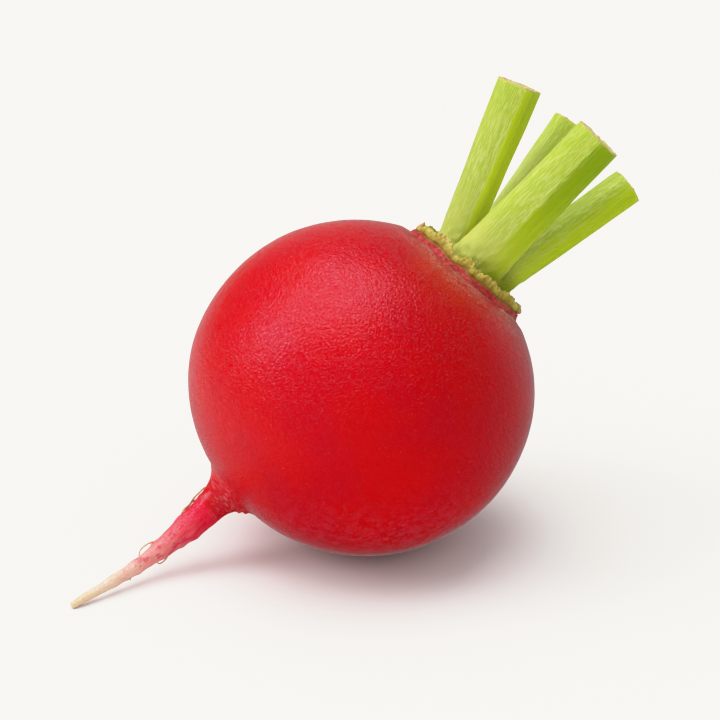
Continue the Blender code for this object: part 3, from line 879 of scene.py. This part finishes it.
hairs = dict(
    radius=0.095 * mm,
    sides=10,
    rows=40,
    wander=0.02 * mm,
    unevenness=0.12,  # share of the radius
    # points of each hair in mm; the first and last ones of a loop lie inside the taproot
    each=(
        ((-15.5, 0.6, 7.4), (-16.2, 0.9, 7.75), (-17.3, 0.75, 7.05), (-18.35, 0.55, 6.15), (-19.3, 0.3, 5.1),
         (-19.6, 0.0, 4.4)),
        ((-16.9, 0.8, 6.5), (-17.6, 0.8, 6.55), (-18.5, 0.6, 5.75), (-19.1, 0.3, 4.9), (-19.2, 0.0, 4.4)),
        ((-21.3, -0.5, 3.1), (-21.9, -0.5, 3.42), (-22.8, -0.55, 3.36), (-23.6, -0.8, 2.95),
         (-23.95, -1.2, 2.3)),
        ((-18.3, -0.8, 3.3), (-18.65, -0.95, 3.05), (-19.2, -1.05, 2.72), (-19.7, -1.0, 2.6),
         (-19.95, -0.8, 2.8)),
        ((-20.6, -1.0, 2.3), (-20.95, -1.25, 2.05), (-21.4, -1.5, 1.78), (-21.9, -1.65, 1.62),
         (-22.2, -1.5, 1.8)),
        ((-25.1, -2.3, 1.4), (-25.2, -2.55, 1.1), (-25.3, -2.70, 0.9)),
        ((-20.0, 0.4, 3.6), (-20.4, 1.0, 3.2), (-21.2, 1.3, 2.6), (-22.2, 1.1, 1.9), (-22.8, 0.3, 1.8)),
    ),
)


def makeHairs():
    # a round tube along a smooth curve through each hair's points, radius * (1 - 0.6 share^2) * (1 + waves)
    piece = None
    for k, points in enumerate(hairs["each"]):
        path = alongSpline(np.array(points) * mm, hairs["rows"] // (len(points) - 1))
        path = path + hairs["wander"] * np.stack([waves(path, 1.2 * mm, 90 + 3 * k + j) for j in range(3)], -1)
        tangents = unit(np.gradient(path, axis=0))
        share = np.linspace(0.0, 1.0, len(path))
        uneven = 1.0 + hairs["unevenness"] * waves(path, 0.6 * mm, 120 + k)
        radii = hairs["radius"] * (1.0 - 0.6 * share**2) * uneven
        angles = np.linspace(0.0, 2.0 * math.pi, hairs["sides"], endpoint=False)
        rings = ringPoints(path, tangents, np.repeat(radii[:, None], len(angles), 1), angles)
        made = closedSurface("hair", rings, {})
        piece = made if piece is None else joined(piece, made)
    piece.name = piece.data.name = "rootHairs"
    return piece


def joined(first, second):
    with bpy.context.temp_override(active_object=first, object=first, selected_objects=[first, second],
                                   selected_editable_objects=[first, second]):
        bpy.ops.object.join()
    return first


hairLook = dict(
    tones=((0.3, (0.40, 0.17, 0.065, 1.0)), (0.55, (0.58, 0.30, 0.13, 1.0)), (0.75, (0.66, 0.45, 0.24, 1.0))),
    roughness=(0.4, 0.6),
    wrinkle=0.03 * mm,
    constants={},
)


def hairMaterial():
    look = hairLook
    material, tree, shader = newMaterial("rootHair")
    point = objectPoint(tree)
    tone = noise(point, 1500.0, 2.0, 0.6)
    finish(tree, shader, look, ramp(tone, look["tones"]), between(tone, *look["roughness"]),
           bump(noise(point, 6000.0), look["wrinkle"]))
    return material


# --- table, light and camera

studio = dict(
    floorReach=3.0,
    floorPoints=9,  # along each side
    floorAlbedo=0.85,
    floorTints=((1.0, 0.995, 0.985), (1.01, 1.005, 0.995)),
    # name: (direction, distance, size, radiance)
    softboxes={
        "overheadSoftbox": ((-0.112, 0.133, 0.985), 1.2, 1.22, 3.05),
        "leftSoftbox": ((-0.795, 0.198, 0.574), 1.2, 0.64, 3.6),
    },
    roomLight=0.78,  # mostly from above the horizon, a little more from the left and the front
    roomLean=(0.30, 0.15),
    # what glossy surfaces mirror: a low glow in place of the table (level, by X, by Y), and a wall at the
    # back right
    lowGlow=(0.42, -0.15, 0.12),
    wallGlow=0.42,
    # how bright parts are held back: (scene value, shown value)
    shoulder=((0.0, 0.0), (0.70, 0.70), (0.85, 0.80), (1.0, 0.86), (1.2, 0.905), (1.45, 0.93), (2.0, 0.935)),
    tableWhite=(1.010, 1.0, 0.974),
    cameraPlace=(-0.08536, -0.22774, 0.13029),
    cameraBack=(-0.31868, -0.85234, 0.41469),  # away from what it looks at
    lens=135.0,
    sensorWidth=36.0,
)


def makeTable():
    # a flat square grid of squares
    reach, count = studio["floorReach"], studio["floorPoints"]
    x, y = np.meshgrid(np.linspace(-reach, reach, count), np.linspace(-reach, reach, count))
    points = np.stack([x, y, np.zeros_like(x)], -1).reshape(-1, 3)
    start = (np.arange(count - 1)[:, None] * count + np.arange(count - 1)).ravel()
    quads = np.stack([start, start + 1, start + count + 1, start + count], -1)
    mesh = bpy.data.meshes.new("tableTop")
    mesh.from_pydata(points.tolist(), [], quads.tolist())
    table = newObject("tableTop", mesh)
    material, tree, shader = newMaterial("tableWhite")
    whites = [tuple(studio["floorAlbedo"] * share for share in tint) + (1.0,) for tint in studio["floorTints"]]
    colour = blendColour(noise(objectPoint(tree), 3.0), *whites)
    tree.links.new(colour, shader.inputs["Base Color"])
    shader.inputs["Roughness"].default_value = 0.9
    shader.inputs["Specular IOR Level"].default_value = 0.0
    mesh.materials.append(material)
    table.visible_glossy = False  # the room's low glow stands for it


def makeLight():
    for name, (direction, distance, size, radiance) in studio["softboxes"].items():
        lamp = bpy.data.lights.new(name, "AREA")
        lamp.shape, lamp.size = "SQUARE", size
        lamp.energy = radiance * math.pi * size * size
        light = newObject(name, lamp)
        light.location = Vector(direction).normalized() * distance
        light.rotation_euler = Vector(direction).to_track_quat("Z", "Y").to_euler()
    world = bpy.data.worlds.new("studioWalls")
    bpy.context.scene.world = world
    world.use_nodes = True
    tree = world.node_tree
    split = addNode(tree, "SeparateXYZ", {"Vector": addNode(tree, "TexCoord", {}).outputs["Generated"]})
    x, y, z = (split.outputs[key] for key in "XYZ")
    level, byX, byY = studio["lowGlow"]
    glow = plus(level, plus(times(x, byX), times(y, byY)))
    # none straight below or at the horizon, a quarter of it at the front
    glow = times(glow, window(z, -0.90, -0.40), window(z, -0.05, -0.30),
                 plus(0.25, times(window(y, -0.6, 0.1), 0.75)))
    wall = times(window(z, -0.30, -0.05), window(z, 0.35, 0.10), window(x, -0.2, 0.3),
                 window(y, -0.2, 0.3), studio["wallGlow"])
    mirrored = addNode(tree, "LightPath", {}).outputs["Is Glossy Ray"]
    leanX, leanY = studio["roomLean"]
    lean = calc("SUBTRACT", calc("SUBTRACT", 1.0, times(x, leanX)), times(y, leanY))
    room = times(lean, window(z, -0.25, 0.30), studio["roomLight"], calc("SUBTRACT", 1.0, mirrored))
    background = tree.nodes["Background"].inputs
    tree.links.new(plus(room, times(mirrored, plus(glow, wall))), background["Strength"])
    background["Color"].default_value = (1.0, 1.0, 1.0, 1.0)


def makeTone():
    # straight for most of the range, then a soft shoulder that keeps the table just below white
    view = bpy.context.scene.view_settings
    view.view_transform = "Standard"
    view.use_curve_mapping = True
    curves = view.curve_mapping
    top = studio["shoulder"][-1][0]
    curves.white_level = (top, top, top)
    for channel, white in enumerate(studio["tableWhite"]):
        points = curves.curves[channel].points
        for k, (seen, shown) in enumerate(studio["shoulder"]):
            height = shown * (1.0 + (white - 1.0) * (k > 1))
            if k == 0:
                point = points[0]
            elif k == len(studio["shoulder"]) - 1:
                point = points[-1]
            else:
                point = points.new(seen / top, height)
            point.location = (seen / top, height)
            point.handle_type = "VECTOR"
    curves.update()


def makeCamera():
    camera = newObject("photoCamera", bpy.data.cameras.new("photoCamera"))
    camera.data.lens, camera.data.sensor_width = studio["lens"], studio["sensorWidth"]
    camera.data.clip_start = 1.0 * mm
    camera.location = studio["cameraPlace"]
    camera.rotation_euler = Vector(studio["cameraBack"]).to_track_quat("Z", "Y").to_euler()
    bpy.context.scene.camera = camera


makeCamera()
makeTable()
makeLight()
makeTone()
print("camera, table and light are up")
attach(makeRoot(), rootMaterial(), "root")
attach(makeCrown(), crownMaterial(), "crown")
for stalkName, stalkSpec in stalks["each"].items():
    ownLook = (stalkSpec[key] for key in ("paintedShadeDepth", "tint", "through", "seed"))
    attach(makeStalk(stalkName), stalkMaterial(stalkName + "Skin", *ownLook), stalkSpec["node"])
attach(makeHairs(), hairMaterial(), None)
